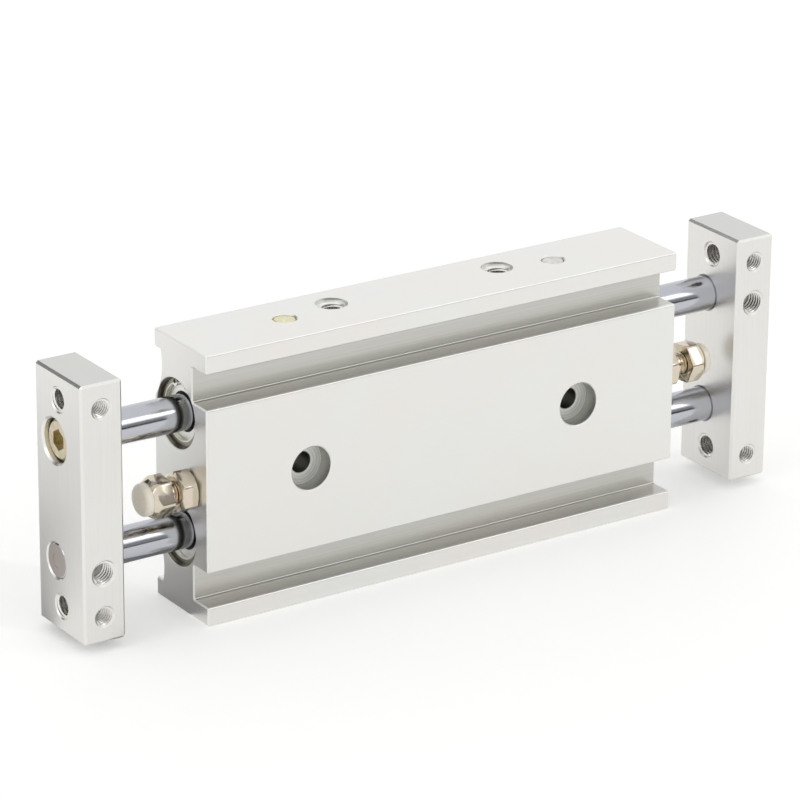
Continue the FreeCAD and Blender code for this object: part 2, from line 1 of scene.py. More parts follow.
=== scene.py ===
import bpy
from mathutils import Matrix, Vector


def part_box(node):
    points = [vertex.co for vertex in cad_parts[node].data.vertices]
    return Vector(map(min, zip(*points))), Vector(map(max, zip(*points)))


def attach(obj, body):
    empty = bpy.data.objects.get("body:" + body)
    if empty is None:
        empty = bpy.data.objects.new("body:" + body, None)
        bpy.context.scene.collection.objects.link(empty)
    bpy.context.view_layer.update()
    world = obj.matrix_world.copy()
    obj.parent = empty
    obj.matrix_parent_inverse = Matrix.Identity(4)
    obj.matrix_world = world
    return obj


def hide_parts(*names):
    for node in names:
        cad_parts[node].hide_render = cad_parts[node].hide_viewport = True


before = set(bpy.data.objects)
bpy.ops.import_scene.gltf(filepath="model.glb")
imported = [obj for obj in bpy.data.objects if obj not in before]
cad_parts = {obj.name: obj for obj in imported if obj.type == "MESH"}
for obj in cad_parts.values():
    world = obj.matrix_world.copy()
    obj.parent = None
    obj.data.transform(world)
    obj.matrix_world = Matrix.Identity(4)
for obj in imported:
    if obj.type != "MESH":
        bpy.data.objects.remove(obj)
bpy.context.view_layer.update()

import math

import bpy
from mathutils import Matrix, Vector

MM = 0.001

# ---------------------------------------------------------------- camera
# A long lens stands in front of the left end and looks a little down on the housing, so that the two
# end plates stay nearly parallel.
camera_data = bpy.data.cameras.new("camera")
camera_data.sensor_width = 36.0
camera_data.lens = 200.608
camera_data.shift_x = -0.0035
camera_data.shift_y = -0.0067
camera = bpy.data.objects.new("camera", camera_data)
camera.location = (-0.48064, -0.71005, 0.36672)
camera.rotation_euler = [math.radians(angle) for angle in (68.834, -0.460, -33.668)]
bpy.context.scene.collection.objects.link(camera)
bpy.context.scene.camera = camera
bpy.context.scene.view_settings.view_transform = "Standard"


# ---------------------------------------------------------------- table and studio light
# A white laminate table with a matt top, in a room that is white all round. Two softboxes, at the
# front right and at the left, add highlights, and grey and dark cards give the metal its dark lines.
def hex_colour(code):
    """An sRGB hex value as linear red, green, blue and alpha."""
    shares = [int(code[i:i + 2], 16) / 255 for i in (0, 2, 4)]
    linear = [c / 12.92 if c <= 0.04045 else ((c + 0.055) / 1.055) ** 2.4 for c in shares]
    return (*linear, 1.0)


def add_node(tree, kind, inputs=None, **settings):
    """Adds a node with its settings; each input gets a value or another node's output."""
    node = tree.nodes.new(kind)
    for name, value in settings.items():
        setattr(node, name, value)
    for socket, value in (inputs or {}).items():
        if isinstance(value, bpy.types.NodeSocket):
            tree.links.new(value, node.inputs[socket])
        else:
            node.inputs[socket].default_value = value
    return node


def new_finish(name, colour, metallic, roughness):
    """Starts a material and gives its node tree and its surface shader."""
    material = bpy.data.materials.new(name)
    material.use_nodes = True
    surface = material.node_tree.nodes["Principled BSDF"]
    surface.inputs["Base Color"].default_value = hex_colour(colour)
    surface.inputs["Metallic"].default_value = metallic
    surface.inputs["Roughness"].default_value = roughness
    return material, material.node_tree, surface


def seen_or_lit(tree, lit, seen):
    """One strength where a surface is only lit, another where it is seen, mirrored or looked through."""
    path = add_node(tree, "ShaderNodeLightPath").outputs
    share = path["Is Camera Ray"]
    for ray in ("Is Glossy Ray", "Is Transmission Ray"):
        either = add_node(tree, "ShaderNodeMath", {0: share, 1: path[ray]}, operation="MAXIMUM")
        share = either.outputs[0]
    return add_node(tree, "ShaderNodeMapRange", {"Value": share, "To Min": lit, "To Max": seen})


world = bpy.data.worlds.new("white_room")
world.use_nodes = True
bpy.context.scene.world = world
room = world.node_tree
room_strength = seen_or_lit(room, 0.8, 1.0)
background = room.nodes["Background"]
background.inputs["Color"].default_value = hex_colour("FFFFFF")
room.links.new(room_strength.outputs[0], background.inputs["Strength"])

bpy.ops.object.select_all(action="DESELECT")
bpy.ops.mesh.primitive_plane_add(size=8.0, location=(0, 0, -0.05 * MM))
table = bpy.context.object
table.name = "white_table"
laminate, tree, surface = new_finish("white_laminate", "F2F2F0", 0.0, 0.6)
glow = seen_or_lit(tree, 0.0, 0.26)
surface.inputs["Emission Color"].default_value = hex_colour("FFFFFF")
tree.links.new(glow.outputs[0], surface.inputs["Emission Strength"])
table.data.materials.append(laminate)


def softbox(name, place, size, watts):
    """A square area lamp that looks at the middle of the object."""
    lamp = bpy.data.lights.new(name, "AREA")
    lamp.size = size
    lamp.energy = watts
    holder = bpy.data.objects.new(name, lamp)
    holder.location = place
    holder.rotation_euler = (Vector((0, 0, 0.03)) - holder.location).to_track_quat("-Z", "Y").to_euler()
    bpy.context.scene.collection.objects.link(holder)


softbox("front_softbox", (0.9, -1.10, 1.05), 0.62, 1.9)
softbox("left_softbox", (-1.3, -0.2, 1.0), 0.7, 1.6)


def card(name, place, width, height, colour, turn=None):
    """A matt card that only reflections show: facing the object, or lying flat and turned."""
    bpy.ops.object.select_all(action="DESELECT")
    bpy.ops.mesh.primitive_plane_add(size=1.0)
    sheet = bpy.context.object
    sheet.name = name
    sheet.scale = (width, height, 1.0)
    sheet.location = place
    if turn is None:
        sheet.rotation_euler = (-Vector(place)).to_track_quat("Z", "Y").to_euler()
    else:
        sheet.rotation_euler = (0, 0, math.radians(turn))
    sheet.data.materials.append(new_finish(name + "_paper", colour, 0.0, 1.0)[0])
    sheet.visible_camera = False
    sheet.visible_diffuse = False
    sheet.visible_shadow = False


card("dark_card_back", (-0.62, 1.35, 0.85), 0.9, 0.9, "3A3A3A")
card("dark_card_front", (1.21, -2.0, 0.165), 3.0, 0.33, "0C0C0D")
card("grey_card_front", (1.21, -2.0, 0.62), 3.0, 0.56, "B0B0B0")
# The two cards lying on the table behind the left end are painted shade: they stand in for the object's
# shadow on the floor there, and only reflections show them.
card("grey_painted_shade_card_on_table", (-0.0855, 0.03, 0.0001), 0.03, 0.085, "B4B4B4", 33.8)
card("pale_painted_shade_card_on_table", (-0.125, 0.089, 0.0001), 0.03, 0.057, "DEDEDE", 33.8)


# ---------------------------------------------------------------- housing
# Drawn aluminium bar, bead blasted and clear anodised after machining: a very fine matt grain over
# faint lines left by the drawing die, which run along the bar. Bore and counterbore walls are painted
# darker (painted shade); the counterbores' floors are painted lighter (painted light) and show turned
# rings.
HOUSING_LOW, HOUSING_HIGH = [[c / MM for c in corner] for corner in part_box("housing")]
MIDDLE_Z = (HOUSING_LOW[2] + HOUSING_HIGH[2]) / 2
BORES_Z = (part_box("left_plate")[0][2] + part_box("left_plate")[1][2]) / 2 / MM


def place_in_mm(tree):
    """The place on the object, in millimetres."""
    coordinates = add_node(tree, "ShaderNodeTexCoord")
    return add_node(tree, "ShaderNodeVectorMath", {0: coordinates.outputs["Object"], "Scale": 1 / MM},
                    operation="SCALE").outputs[0]


def blend_colour(tree, share, first, second):
    """One colour or the other, by a share from 0 to 1."""
    return add_node(tree, "ShaderNodeMix", {0: share, 6: first, 7: second},
                    data_type="RGBA").outputs[2]


def calculate(tree, operation, *values):
    """The result of one Math node."""
    return add_node(tree, "ShaderNodeMath", dict(enumerate(values)), operation=operation).outputs[0]


def where_all(tree, *shares):
    """A share that is 1 only where all the given shares are 1."""
    product = shares[0]
    for share in shares[1:]:
        product = calculate(tree, "MULTIPLY", product, share)
    return product


def remap(tree, value, low, high, new_low=0.0, new_high=1.0):
    """A value moved from one range to another, and kept in it."""
    return add_node(tree, "ShaderNodeMapRange",
                    {"Value": value, "From Min": low, "From Max": high, "To Min": new_low,
                     "To Max": new_high}).outputs[0]


def scratch_lines(tree, place, across_mm, along_mm, direction):
    """Fine parallel lines: a noise drawn out along x, y or z."""
    stretch = [1 / across_mm] * 3
    stretch["xyz".index(direction)] = 1 / along_mm
    drawn = add_node(tree, "ShaderNodeMapping", {"Vector": place, "Scale": stretch})
    return add_node(tree, "ShaderNodeTexNoise", {"Vector": drawn.outputs[0], "Scale": 1.0,
                                                 "Detail": 2.0}).outputs[0]


def clouds(tree, place, size_mm, detail=3.0):
    """Soft patches of about one size."""
    return add_node(tree, "ShaderNodeTexNoise", {"Vector": place, "Scale": 1 / size_mm,
                                                 "Detail": detail}).outputs[0]


def bumps(tree, surface, height, strength, distance_mm):
    """Raises the surface by a height from 0 to 1."""
    bump = add_node(tree, "ShaderNodeBump", {"Height": height, "Strength": strength,
                                             "Distance": distance_mm * MM})
    tree.links.new(bump.outputs[0], surface.inputs["Normal"])


def blasted_aluminium(name, cool, warm, roughness, line_direction, line_share):
    """Blasted, clear anodised aluminium: its tree, place, colour and roughness outputs as well."""
    material, tree, surface = new_finish(name, cool, 1.0, roughness)
    place = place_in_mm(tree)
    # The real grit is about 0.1 mm; it is drawn at 0.35 mm so that it shows.
    grit = clouds(tree, place, 0.35, 2.0)
    lines = scratch_lines(tree, place, 0.45, 26.0, line_direction)
    patches = clouds(tree, place, 20.0)
    streaks = calculate(tree, "MULTIPLY", remap(tree, lines, 0.3, 0.7), line_share)
    share = calculate(tree, "ADD", remap(tree, patches, 0.35, 0.65, 0.0, 1.0 - line_share), streaks)
    colour = blend_colour(tree, share, hex_colour(cool), hex_colour(warm))
    shine = remap(tree, grit, 0.0, 1.0, roughness - 0.05, roughness + 0.07)
    height = calculate(tree, "ADD", grit, lines)
    bumps(tree, surface, height, 0.08, 0.04)
    tree.links.new(colour, surface.inputs["Base Color"])
    tree.links.new(shine, surface.inputs["Roughness"])
    return material, tree, surface, place, colour, shine


def from_middle_of(tree, place, middle_z):
    """x and z as distances from the middle, and y as it is, in millimetres."""
    parts = add_node(tree, "ShaderNodeSeparateXYZ", {0: place}).outputs
    return {"x": calculate(tree, "ABSOLUTE", parts[0]), "y": parts[1],
            "z": calculate(tree, "ABSOLUTE", calculate(tree, "SUBTRACT", parts[2], middle_z))}


def off_axis(tree, place, along, first, second, middle_z):
    """How far a point is from the nearest of a set of parallel holes, in millimetres."""
    from_middle = from_middle_of(tree, place, middle_z)
    across = [from_middle[axis] for axis in "xyz" if axis != along]
    legs = [calculate(tree, "SUBTRACT", value, centre) for value, centre in zip(across, (first, second))]
    squares = [calculate(tree, "MULTIPLY", leg, leg) for leg in legs]
    return calculate(tree, "SQRT", calculate(tree, "ADD", *squares))


def lay_over(tree, surface, share, colour, shine, new_colour, new_shine):
    """Lays another colour and roughness over the finish where a share is 1."""
    colour = blend_colour(tree, share, colour, hex_colour(new_colour))
    shine = add_node(tree, "ShaderNodeMix", {0: share, 2: shine, 3: new_shine}).outputs[0]
    tree.links.new(colour, surface.inputs["Base Color"])
    tree.links.new(shine, surface.inputs["Roughness"])
    return colour, shine


def dress(nodes, material):
    """Gives CAD nodes their finish."""
    for node in nodes:
        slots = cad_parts[node].data.materials
        slots.clear()
        slots.append(material)


BORE_Y, BORE_FROM_MIDDLE, BORE_RADIUS, BORE_CHAMFER = 1.8, 12.75, 7.0, 0.5
FIXING_X, FIXING_RADIUS, COUNTERBORE_RADIUS, COUNTERBORE_DEPTH = 33.05, 2.25, 4.65, 4.0
GROOVE_INNER, GROOVE_OUTER, GROOVE_DEPTH, FRONT_EDGE = 17.5, 25.0, 5.5, 0.4
END_CHAMFER = 0.3

housing_finish, tree, surface, place, colour, shine = blasted_aluminium(
    "blasted_anodised_aluminium", "E9EAE8", "ECE9E5", 0.36, "x", 0.25)
# Painted shade: the bores' walls are painted dark, where shade falls inside them.
painted_bore_shade = remap(tree, off_axis(tree, place, "x", BORE_Y, BORE_FROM_MIDDLE, BORES_Z),
             BORE_RADIUS + BORE_CHAMFER - 0.16, BORE_RADIUS + BORE_CHAMFER - 0.1, 1.0, 0.0)
colour, shine = lay_over(tree, surface, painted_bore_shade, colour, shine, "6E6B61", 0.32)
from_middle = from_middle_of(tree, place, MIDDLE_Z)
depth = calculate(tree, "SUBTRACT", from_middle["y"], HOUSING_LOW[1])
# The sensor grooves are painted darker than the blasted faces, with faint lines along them: painted
# shade in the recesses.
drawn_lines = scratch_lines(tree, place, 0.35, 60.0, "x")
painted_groove_shade = where_all(
    tree, remap(tree, depth, FRONT_EDGE + 0.1, FRONT_EDGE + 0.5),
    remap(tree, depth, GROOVE_DEPTH + 0.1, GROOVE_DEPTH + 0.3, 1.0, 0.0),
    remap(tree, from_middle["z"], GROOVE_INNER - 0.1, GROOVE_INNER - 0.05),
    remap(tree, from_middle["z"], GROOVE_OUTER + 0.05, GROOVE_OUTER + 0.1, 1.0, 0.0),
    remap(tree, drawn_lines, 0.3, 0.7, 0.8, 1.0))
colour, shine = lay_over(tree, surface, painted_groove_shade, colour, shine, "C3C2BD", 0.3)
# Blasting leaves the sawn ends' edges matt, and they are painted lighter: a painted highlight along the
# end chamfers.
end_chamfer_highlight = where_all(
    tree, remap(tree, from_middle["x"], HOUSING_HIGH[0] - END_CHAMFER - 0.01,
                HOUSING_HIGH[0] - END_CHAMFER + 0.01),
    remap(tree, from_middle["x"], HOUSING_HIGH[0] - 0.03, HOUSING_HIGH[0] - 0.01, 1.0, 0.0),
    remap(tree, painted_bore_shade, 0.0, 1.0, 1.0, 0.0))
colour, shine = lay_over(tree, surface, end_chamfer_highlight, colour, shine, "F4F4F1", 0.75)
# A counterbore's wall is painted darker than its floor, as painted shade, and the floor is painted
# lighter, as painted light. Both are told by their place round the hole.
from_fixing = off_axis(tree, place, "y", FIXING_X, 0.0, MIDDLE_Z)
near = remap(tree, from_fixing, COUNTERBORE_RADIUS + 0.1, COUNTERBORE_RADIUS + 0.2, 1.0, 0.0)
sunk = where_all(tree, near, remap(tree, depth, 0.25, 0.45),
                 remap(tree, depth, COUNTERBORE_DEPTH + 0.05, COUNTERBORE_DEPTH + 0.15, 1.0, 0.0))
painted_wall_shade = where_all(tree, sunk, remap(tree, from_fixing, COUNTERBORE_RADIUS - 0.1,
                                   COUNTERBORE_RADIUS - 0.04))
colour, shine = lay_over(tree, surface, painted_wall_shade, colour, shine, "B0B0AA", 0.42)
# The drilled hole is painted darker still: painted shade down the hole.
drill = remap(tree, from_fixing, FIXING_RADIUS + 0.03, FIXING_RADIUS + 0.09, 1.0, 0.0)
colour, shine = lay_over(tree, surface, drill, colour, shine, "9A9A94", 0.4)
painted_light_floor = where_all(tree, sunk, remap(tree, depth, COUNTERBORE_DEPTH - 0.1, COUNTERBORE_DEPTH - 0.02))
colour, shine = lay_over(tree, surface, painted_light_floor, colour, shine, "F6F6F4", 0.62)
# The cutter's rings are about 0.1 mm apart; they are drawn 0.7 mm apart so that they show.
rings = calculate(tree, "SINE", calculate(tree, "MULTIPLY", from_fixing, 2 * math.pi / 0.7))
rings = where_all(tree, painted_light_floor, remap(tree, rings, -1.0, 1.0, 0.0, 0.5))
colour, shine = lay_over(tree, surface, rings, colour, shine, "D2D2CE", 0.5)
dress(["housing"], housing_finish)

# ---------------------------------------------------------------- end plates
# Two milled aluminium plates, clear anodised. The broad faces keep the upright lines of the grinding
# belt under the anodising; the sawn ends are a shade darker.
plate_finish, tree, surface, place, colour, shine = blasted_aluminium(
    "belt_ground_anodised_aluminium", "E7E7E4", "E4E1DE", 0.32, "z", 0.6)
plate_half_height = (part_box("left_plate")[1][2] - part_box("left_plate")[0][2]) / 2 / MM
ends = remap(tree, from_middle_of(tree, place, BORES_Z)["z"], plate_half_height - 0.05,
             plate_half_height - 0.02)
lay_over(tree, surface, ends, colour, shine, "D3D3D0", 0.36)
dress(["left_plate", "right_plate"], plate_finish)


# ---------------------------------------------------------------- threads of the tapped holes
# The ridges that a tap leaves in the plates' holes and in the two ports on top: M5 with a pitch of
# 0.8 mm and M4 with 0.7 mm. Each hole's ridge is wound down the hole from just inside its mouth.
def only(piece):
    """Makes one piece the only selected one, and the active one."""
    bpy.ops.object.select_all(action="DESELECT")
    piece.select_set(True)
    bpy.context.view_layer.objects.active = piece


def pick(piece, kind, test):
    """In edit mode, selects the points, edges or faces whose middle passes a test, in millimetres."""
    bpy.ops.mesh.select_mode(type=kind)
    bpy.ops.mesh.select_all(action="DESELECT")
    bpy.ops.object.mode_set(mode="OBJECT")
    mesh = piece.data
    for part in {"VERT": mesh.vertices, "EDGE": mesh.edges, "FACE": mesh.polygons}[kind]:
        points = [part.co] if kind == "VERT" else [mesh.vertices[i].co for i in part.vertices]
        part.select = bool(test(sum(points, Vector()) / len(points) / MM))
    bpy.ops.object.mode_set(mode="EDIT")


def cut_off(z_mm, side):
    """In edit mode, cuts the whole piece square at a height, closes it and drops the part beyond."""
    bpy.ops.mesh.select_all(action="SELECT")
    bpy.ops.mesh.bisect(plane_co=(0, 0, z_mm * MM), plane_no=(0, 0, side), use_fill=True,
                        clear_outer=True, threshold=1e-7)


def apply_all(piece):
    """Applies a piece's modifiers in their order."""
    only(piece)
    for name in [modifier.name for modifier in piece.modifiers]:
        bpy.ops.object.modifier_apply(modifier=name)


def wound_ridge(name, foot, crest, pitch, start, end):
    """A 60 degree ridge round z, from a foot radius to a crest radius, between two depths in mm."""
    bpy.ops.object.select_all(action="DESELECT")
    bpy.ops.mesh.primitive_plane_add(size=1.0)
    ridge = bpy.context.object
    ridge.name = name
    ridge.scale = (abs(crest - foot) * MM, 0.85 * pitch * MM, 1.0)
    ridge.rotation_euler = (math.pi / 2, 0, 0)
    ridge.location = ((foot + crest) / 2 * MM, 0, (pitch - start) * MM)
    bpy.ops.object.transform_apply()
    bpy.ops.object.mode_set(mode="EDIT")
    pick(ridge, "VERT", lambda point: abs(point.x - crest) < 0.01)
    bpy.ops.transform.resize(value=(1, 1, 0.3), center_override=(crest * MM, 0, (pitch - start) * MM))
    bpy.ops.mesh.select_all(action="SELECT")
    bpy.ops.mesh.delete(type="ONLY_FACE")
    bpy.ops.object.mode_set(mode="OBJECT")
    winding = ridge.modifiers.new("winding", "SCREW")
    winding.axis = "Z"
    winding.screw_offset = -pitch * MM
    winding.iterations = math.ceil((end - start) / pitch) + 2
    winding.steps = winding.render_steps = 24
    apply_all(ridge)
    bpy.ops.object.mode_set(mode="EDIT")
    cut_off(-start, 1)
    cut_off(-end, -1)
    bpy.ops.mesh.select_all(action="SELECT")
    bpy.ops.mesh.normals_make_consistent(inside=False)
    bpy.ops.object.mode_set(mode="OBJECT")
    bpy.ops.object.shade_smooth_by_angle(angle=math.radians(20))
    return ridge


def copy_to(piece, name, place, outward, turn=0.0):
    """A copy with its own mesh, its z turned to face outward, settled at a place in millimetres."""
    copy = piece.copy()
    copy.data = piece.data.copy()
    copy.name = name
    bpy.context.scene.collection.objects.link(copy)
    spin = Matrix.Rotation(math.radians(turn), 4, "Z")
    facing = Vector(outward).to_track_quat("Z", "Y").to_matrix().to_4x4()
    copy.matrix_world = Matrix.Translation(Vector(place) * MM) @ facing @ spin
    only(copy)
    bpy.ops.object.transform_apply()
    return copy


def remove(piece):
    """Takes away a pattern piece once its copies are made."""
    bpy.data.objects.remove(piece, do_unlink=True)


thread_finish = blasted_aluminium("tapped_anodised_aluminium", "ECECE8", "E4E0DA", 0.26, "x", 0.3)[0]
M5_RADIUS, M5_CREST, M5_PITCH = 2.5, 2.1, 0.8
M4_RADIUS, M4_CREST, M4_PITCH = 2.0, 1.68, 0.7
# The foot of each ridge lies this far inside the wall, and its start this far down from the mouth.
ROOT, MOUTH = 0.04, 0.28
PLATE_HOLE_FROM_END, PLATE_PORT_DEPTH, FRONT_HOLE_DEPTH, PLATE_HALF_DEPTH = 5.5, 4.6, 6.4, 9.0
PORT_X, PORT_Y, TOP_FACE_DEPTH = 20.4, 2.5, 0.7
HOUSING_TOP = HOUSING_HIGH[2]
plate_thickness = (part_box("left_plate")[1][0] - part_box("left_plate")[0][0]) / MM
through_thread = wound_ridge("through_thread", M5_RADIUS + ROOT, M5_CREST, M5_PITCH, MOUTH,
                             plate_thickness - MOUTH)
port_thread = wound_ridge("port_thread", M5_RADIUS + ROOT, M5_CREST, M5_PITCH, MOUTH + ROOT,
                          PLATE_PORT_DEPTH)
front_thread = wound_ridge("front_thread", M4_RADIUS + ROOT, M4_CREST, M4_PITCH, MOUTH,
                           FRONT_HOLE_DEPTH)

for side, outward in (("left", -1), ("right", 1)):
    low, high = [[c / MM for c in corner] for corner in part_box(side + "_plate")]
    outer_x = low[0] if side == "left" else high[0]
    middle_x = (low[0] + high[0]) / 2
    threads = []
    for end, z in (("low", low[2] + PLATE_HOLE_FROM_END), ("high", high[2] - PLATE_HOLE_FROM_END)):
        threads.append(copy_to(through_thread, side + "_plate_m5_thread_" + end, (outer_x, 0, z),
                               (outward, 0, 0)))
        # The front hole crosses the through hole, so its drill cuts that hole's ridge.
        bpy.ops.object.select_all(action="DESELECT")
        bpy.ops.mesh.primitive_cylinder_add(
            vertices=48, radius=M4_RADIUS * MM, depth=PLATE_HALF_DEPTH * MM,
            location=(middle_x * MM, -PLATE_HALF_DEPTH / 2 * MM, z * MM),
            rotation=(math.pi / 2, 0, 0))
        drill = bpy.context.object
        crossing = threads[-1].modifiers.new("crossing_hole", "BOOLEAN")
        crossing.object = drill
        crossing.solver = "EXACT"
        apply_all(threads[-1])
        remove(drill)
        threads.append(copy_to(front_thread, side + "_plate_m4_thread_" + end, (middle_x, low[1], z),
                               (0, -1, 0)))
    # The left plate feeds the lower rod, and the right one the upper rod.
    port_z = BORES_Z + outward * BORE_FROM_MIDDLE
    threads.append(copy_to(port_thread, side + "_plate_port_thread", (middle_x, low[1], port_z),
                           (0, -1, 0)))
    top_thread = copy_to(port_thread, side + "_top_port_thread",
                         (outward * PORT_X, PORT_Y, HOUSING_TOP - TOP_FACE_DEPTH), (0, 0, 1))
    for thread in threads:
        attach(thread, "carriage")
    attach(top_thread, "housing")
    for thread in threads + [top_thread]:
        thread.data.materials.append(thread_finish)
for pattern in (through_thread, port_thread, front_thread):
    remove(pattern)

# ---------------------------------------------------------------- rods
# Two ground steel bars with hard chrome, polished to a mirror with very faint rings round the bar.
# Their ends are turned after plating and show the bare steel; the plugs in them are dull nickel.
CHROME, BARE_STEEL = "BCBEC5", "BDB3AE"
chrome, tree, surface = new_finish("hard_chrome", CHROME, 1.0, 0.09)
place = place_in_mm(tree)
rings = scratch_lines(tree, place, 40.0, 0.4, "x")
shine = remap(tree, rings, 0.0, 1.0, 0.1, 0.19)
rod_low, rod_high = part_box("lower_rod")[0][0] / MM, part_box("upper_rod")[1][0] / MM
along = add_node(tree, "ShaderNodeSeparateXYZ", {0: place}).outputs[0]
bare = calculate(tree, "ADD", remap(tree, along, rod_low + 0.02, rod_low + 0.04, 1.0, 0.0),
                 remap(tree, along, rod_high - 0.04, rod_high - 0.02))
lay_over(tree, surface, bare, hex_colour(CHROME), shine, BARE_STEEL, 0.34)
dress(["upper_rod", "lower_rod"], chrome)
plug_nickel, tree, surface = new_finish("dull_nickel_on_brass", BARE_STEEL, 1.0, 0.34)
marks = clouds(tree, place_in_mm(tree), 0.9)
tree.links.new(blend_colour(tree, marks, hex_colour("B8AFA8"), hex_colour("C4BAB4")),
               surface.inputs["Base Color"])
tree.links.new(remap(tree, marks, 0.2, 0.8, 0.3, 0.4), surface.inputs["Roughness"])
dress(["left_rod_plug", "right_rod_plug"], plug_nickel)

# ---------------------------------------------------------------- cap screws
# Socket head screws, zinc plated and yellow passivated, which pull each rod into its plate. The film
# is thin and uneven, so it turns from straw to pink and green.
zinc, tree, surface = new_finish("yellow_passivated_zinc", "DCCFA8", 1.0, 0.3)
place = place_in_mm(tree)
film = clouds(tree, place, 1.6)
colour = blend_colour(tree, remap(tree, film, 0.35, 0.65), hex_colour("D6C6A4"), hex_colour("E2D6C8"))
tint = clouds(tree, place, 3.1)
colour = blend_colour(tree, remap(tree, tint, 0.45, 0.75, 0.0, 0.7), colour, hex_colour("C6C79A"))
tree.links.new(colour, surface.inputs["Base Color"])
tree.links.new(remap(tree, film, 0.2, 0.8, 0.22, 0.38), surface.inputs["Roughness"])
dress(["left_cap_screw", "right_cap_screw"], zinc)

# ---------------------------------------------------------------- pieces in the bore ends
# Each bore is closed by a turned cover behind a spring ring; a bright washer and the black lip of the
# rod seal show round the rod.
spring_steel, tree, surface = new_finish("bright_spring_steel", "F6F6F2", 1.0, 0.5)
marks = clouds(tree, place_in_mm(tree), 0.8, 2.0)
tree.links.new(remap(tree, marks, 0.2, 0.8, 0.36, 0.48), surface.inputs["Roughness"])
RING_INNER_RADIUS, PHOSPHATE = 5.9, "9C998C"
ring_steel, tree, surface = new_finish("phosphated_spring_steel", PHOSPHATE, 1.0, 0.35)
place = place_in_mm(tree)
marks = clouds(tree, place, 0.6, 2.0)
# The rings' inner edges are painted bright: a painted highlight along them.
inner_edge_highlight = remap(tree, off_axis(tree, place, "x", BORE_Y, BORE_FROM_MIDDLE, BORES_Z),
                   RING_INNER_RADIUS + 0.12, RING_INNER_RADIUS + 0.26, 1.0, 0.0)
lay_over(tree, surface, inner_edge_highlight, hex_colour(PHOSPHATE), remap(tree, marks, 0.2, 0.8, 0.28, 0.44),
         "F2F0E6", 0.4)
turned, tree, surface = new_finish("turned_aluminium", "B8B8B4", 1.0, 0.3)
marks = scratch_lines(tree, place_in_mm(tree), 30.0, 0.3, "x")
tree.links.new(remap(tree, marks, 0.0, 1.0, 0.22, 0.4), surface.inputs["Roughness"])
bumps(tree, surface, marks, 0.1, 0.03)
bronze, tree, surface = new_finish("bored_bronze", "A8834F", 1.0, 0.3)
marks = scratch_lines(tree, place_in_mm(tree), 20.0, 0.25, "x")
colour = blend_colour(tree, marks, hex_colour("9A7442"), hex_colour("B8935C"))
tree.links.new(colour, surface.inputs["Base Color"])
rubber, tree, surface = new_finish("nitrile_rubber", "1C1C1D", 0.0, 0.55)
bloom = clouds(tree, place_in_mm(tree), 1.2)
colour = blend_colour(tree, bloom, hex_colour("141415"), hex_colour("2C2C2D"))
tree.links.new(colour, surface.inputs["Base Color"])
tree.links.new(remap(tree, bloom, 0.2, 0.8, 0.45, 0.65), surface.inputs["Roughness"])
for side in ("left", "right"):
    for bore_name in ("upper", "lower"):
        name = side + "_" + bore_name + "_"
        dress([name + "seal_washer"], spring_steel)
        dress([name + "retaining_ring"], ring_steel)
        dress([name + "rod_cover"], turned)
        dress([name + "rod_bush"], bronze)
        dress([name + "rod_seal", name + "cover_o_ring"], rubber)

# ---------------------------------------------------------------- stopper bolts and lock nuts
# M5 bolts with hexagon heads and their lock nuts, cold formed and bright nickel plated. The hexagons'
# corners are soft from the dies and the plating, and the nickel is slightly warm.
nickel, tree, surface = new_finish("bright_nickel", "D9CFBE", 1.0, 0.14)
place = place_in_mm(tree)
plating = clouds(tree, place, 1.8)
colour = blend_colour(tree, remap(tree, plating, 0.35, 0.65), hex_colour("D2CBB6"),
                      hex_colour("DCCDC0"))
tree.links.new(colour, surface.inputs["Base Color"])
pits = clouds(tree, place, 0.5, 2.0)
tree.links.new(remap(tree, pits, 0.3, 0.7, 0.1, 0.2), surface.inputs["Roughness"])
bumps(tree, surface, plating, 0.15, 0.08)

ACROSS_FLATS, HEAD_HEIGHT, NUT_HEIGHT, FACE_RADIUS = 8.0, 4.2, 4.0, 3.5
CORNER_RADIUS = ACROSS_FLATS / 2 / math.cos(math.pi / 6)
BLANK_RADIUS, CORNER_ROUNDING = CORNER_RADIUS + 0.4, 0.42
SCREW_RADIUS, CORE_RADIUS, NUT_HOLE_RADIUS = 2.45, 2.02, 2.5
STEM_HOLE_RADIUS, STEM_HOLE_DEPTH, SHANK_ROOT = 1.72, 1.65, 0.2
HEAD_BEVEL, NUT_BEVEL = 55.0, 30.0
HEAD_TURN, NUT_TURN = {"left": 23.0, "right": 25.0}, {"left": 0.0, "right": 7.0}


def round_bar(name, radius, low, high, sides=64):
    """A round bar along z between two heights, in millimetres."""
    bpy.ops.object.select_all(action="DESELECT")
    bpy.ops.mesh.primitive_cylinder_add(vertices=sides, radius=radius * MM, depth=(high - low) * MM,
                                        location=(0, 0, (low + high) / 2 * MM))
    bar = bpy.context.object
    bar.name = name
    bpy.ops.object.transform_apply()
    return bar


def bevelled_end(piece, radius, z, up, angle):
    """Draws a bar's end face on to a smaller face, with a bevel at an angle to that face."""
    bpy.ops.object.mode_set(mode="EDIT")
    pick(piece, "FACE", lambda middle: abs(middle.z - z) < 0.01)
    run = (radius - FACE_RADIUS) * math.tan(math.radians(angle))
    bpy.ops.transform.translate(value=(0, 0, -up * run * MM))
    bpy.ops.mesh.extrude_region_move(TRANSFORM_OT_translate={"value": (0, 0, up * run * MM)})
    share = FACE_RADIUS / radius
    bpy.ops.transform.resize(value=(share, share, 1), center_override=(0, 0, z * MM))
    bpy.ops.object.mode_set(mode="OBJECT")


def combine(piece, other, operation):
    """Joins, cuts or crosses a piece with another, which is used up."""
    joint = piece.modifiers.new(operation.lower(), "BOOLEAN")
    joint.operation = operation
    joint.object = other
    joint.solver = "EXACT"
    apply_all(piece)
    remove(other)


